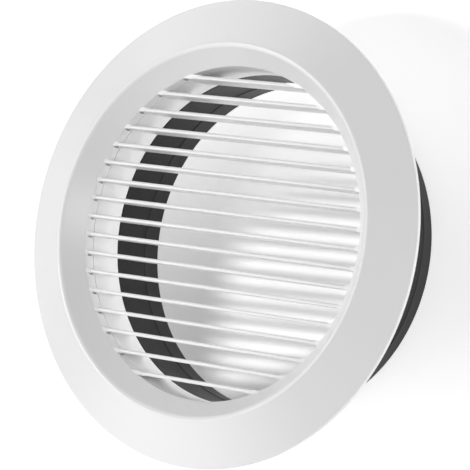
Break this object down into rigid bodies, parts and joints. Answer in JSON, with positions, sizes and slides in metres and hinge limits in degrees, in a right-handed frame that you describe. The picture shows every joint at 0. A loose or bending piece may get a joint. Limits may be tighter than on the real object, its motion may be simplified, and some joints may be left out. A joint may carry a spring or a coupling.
{
  "type": "round vent cover",
  "caption": "Round white louvred cover for an air duct, with a raised rim, fixed level slats and a black rubber sealing sleeve behind it.",
  "frame": {"origin": "middle of the rear edge of the rubber sleeve, where the duct's axis meets the surface that the cover stands on", "axes": "+Z along the duct's axis, out of the duct and into the room; X along the slats; +Y across the slats"},
  "size_m": [0.2, 0.2, 0.0614],
  "materials": {
    "white_plastic": "satin moulded white plastic",
    "core_plastic": "satin moulded white plastic",
    "black_rubber": "matt black rubber"
  },
  "bodies": {
    "root": {"front_frame": "white_plastic", "louvre_core": "core_plastic", "seal_sleeve": "black_rubber"}
  },
  "joints": []
}
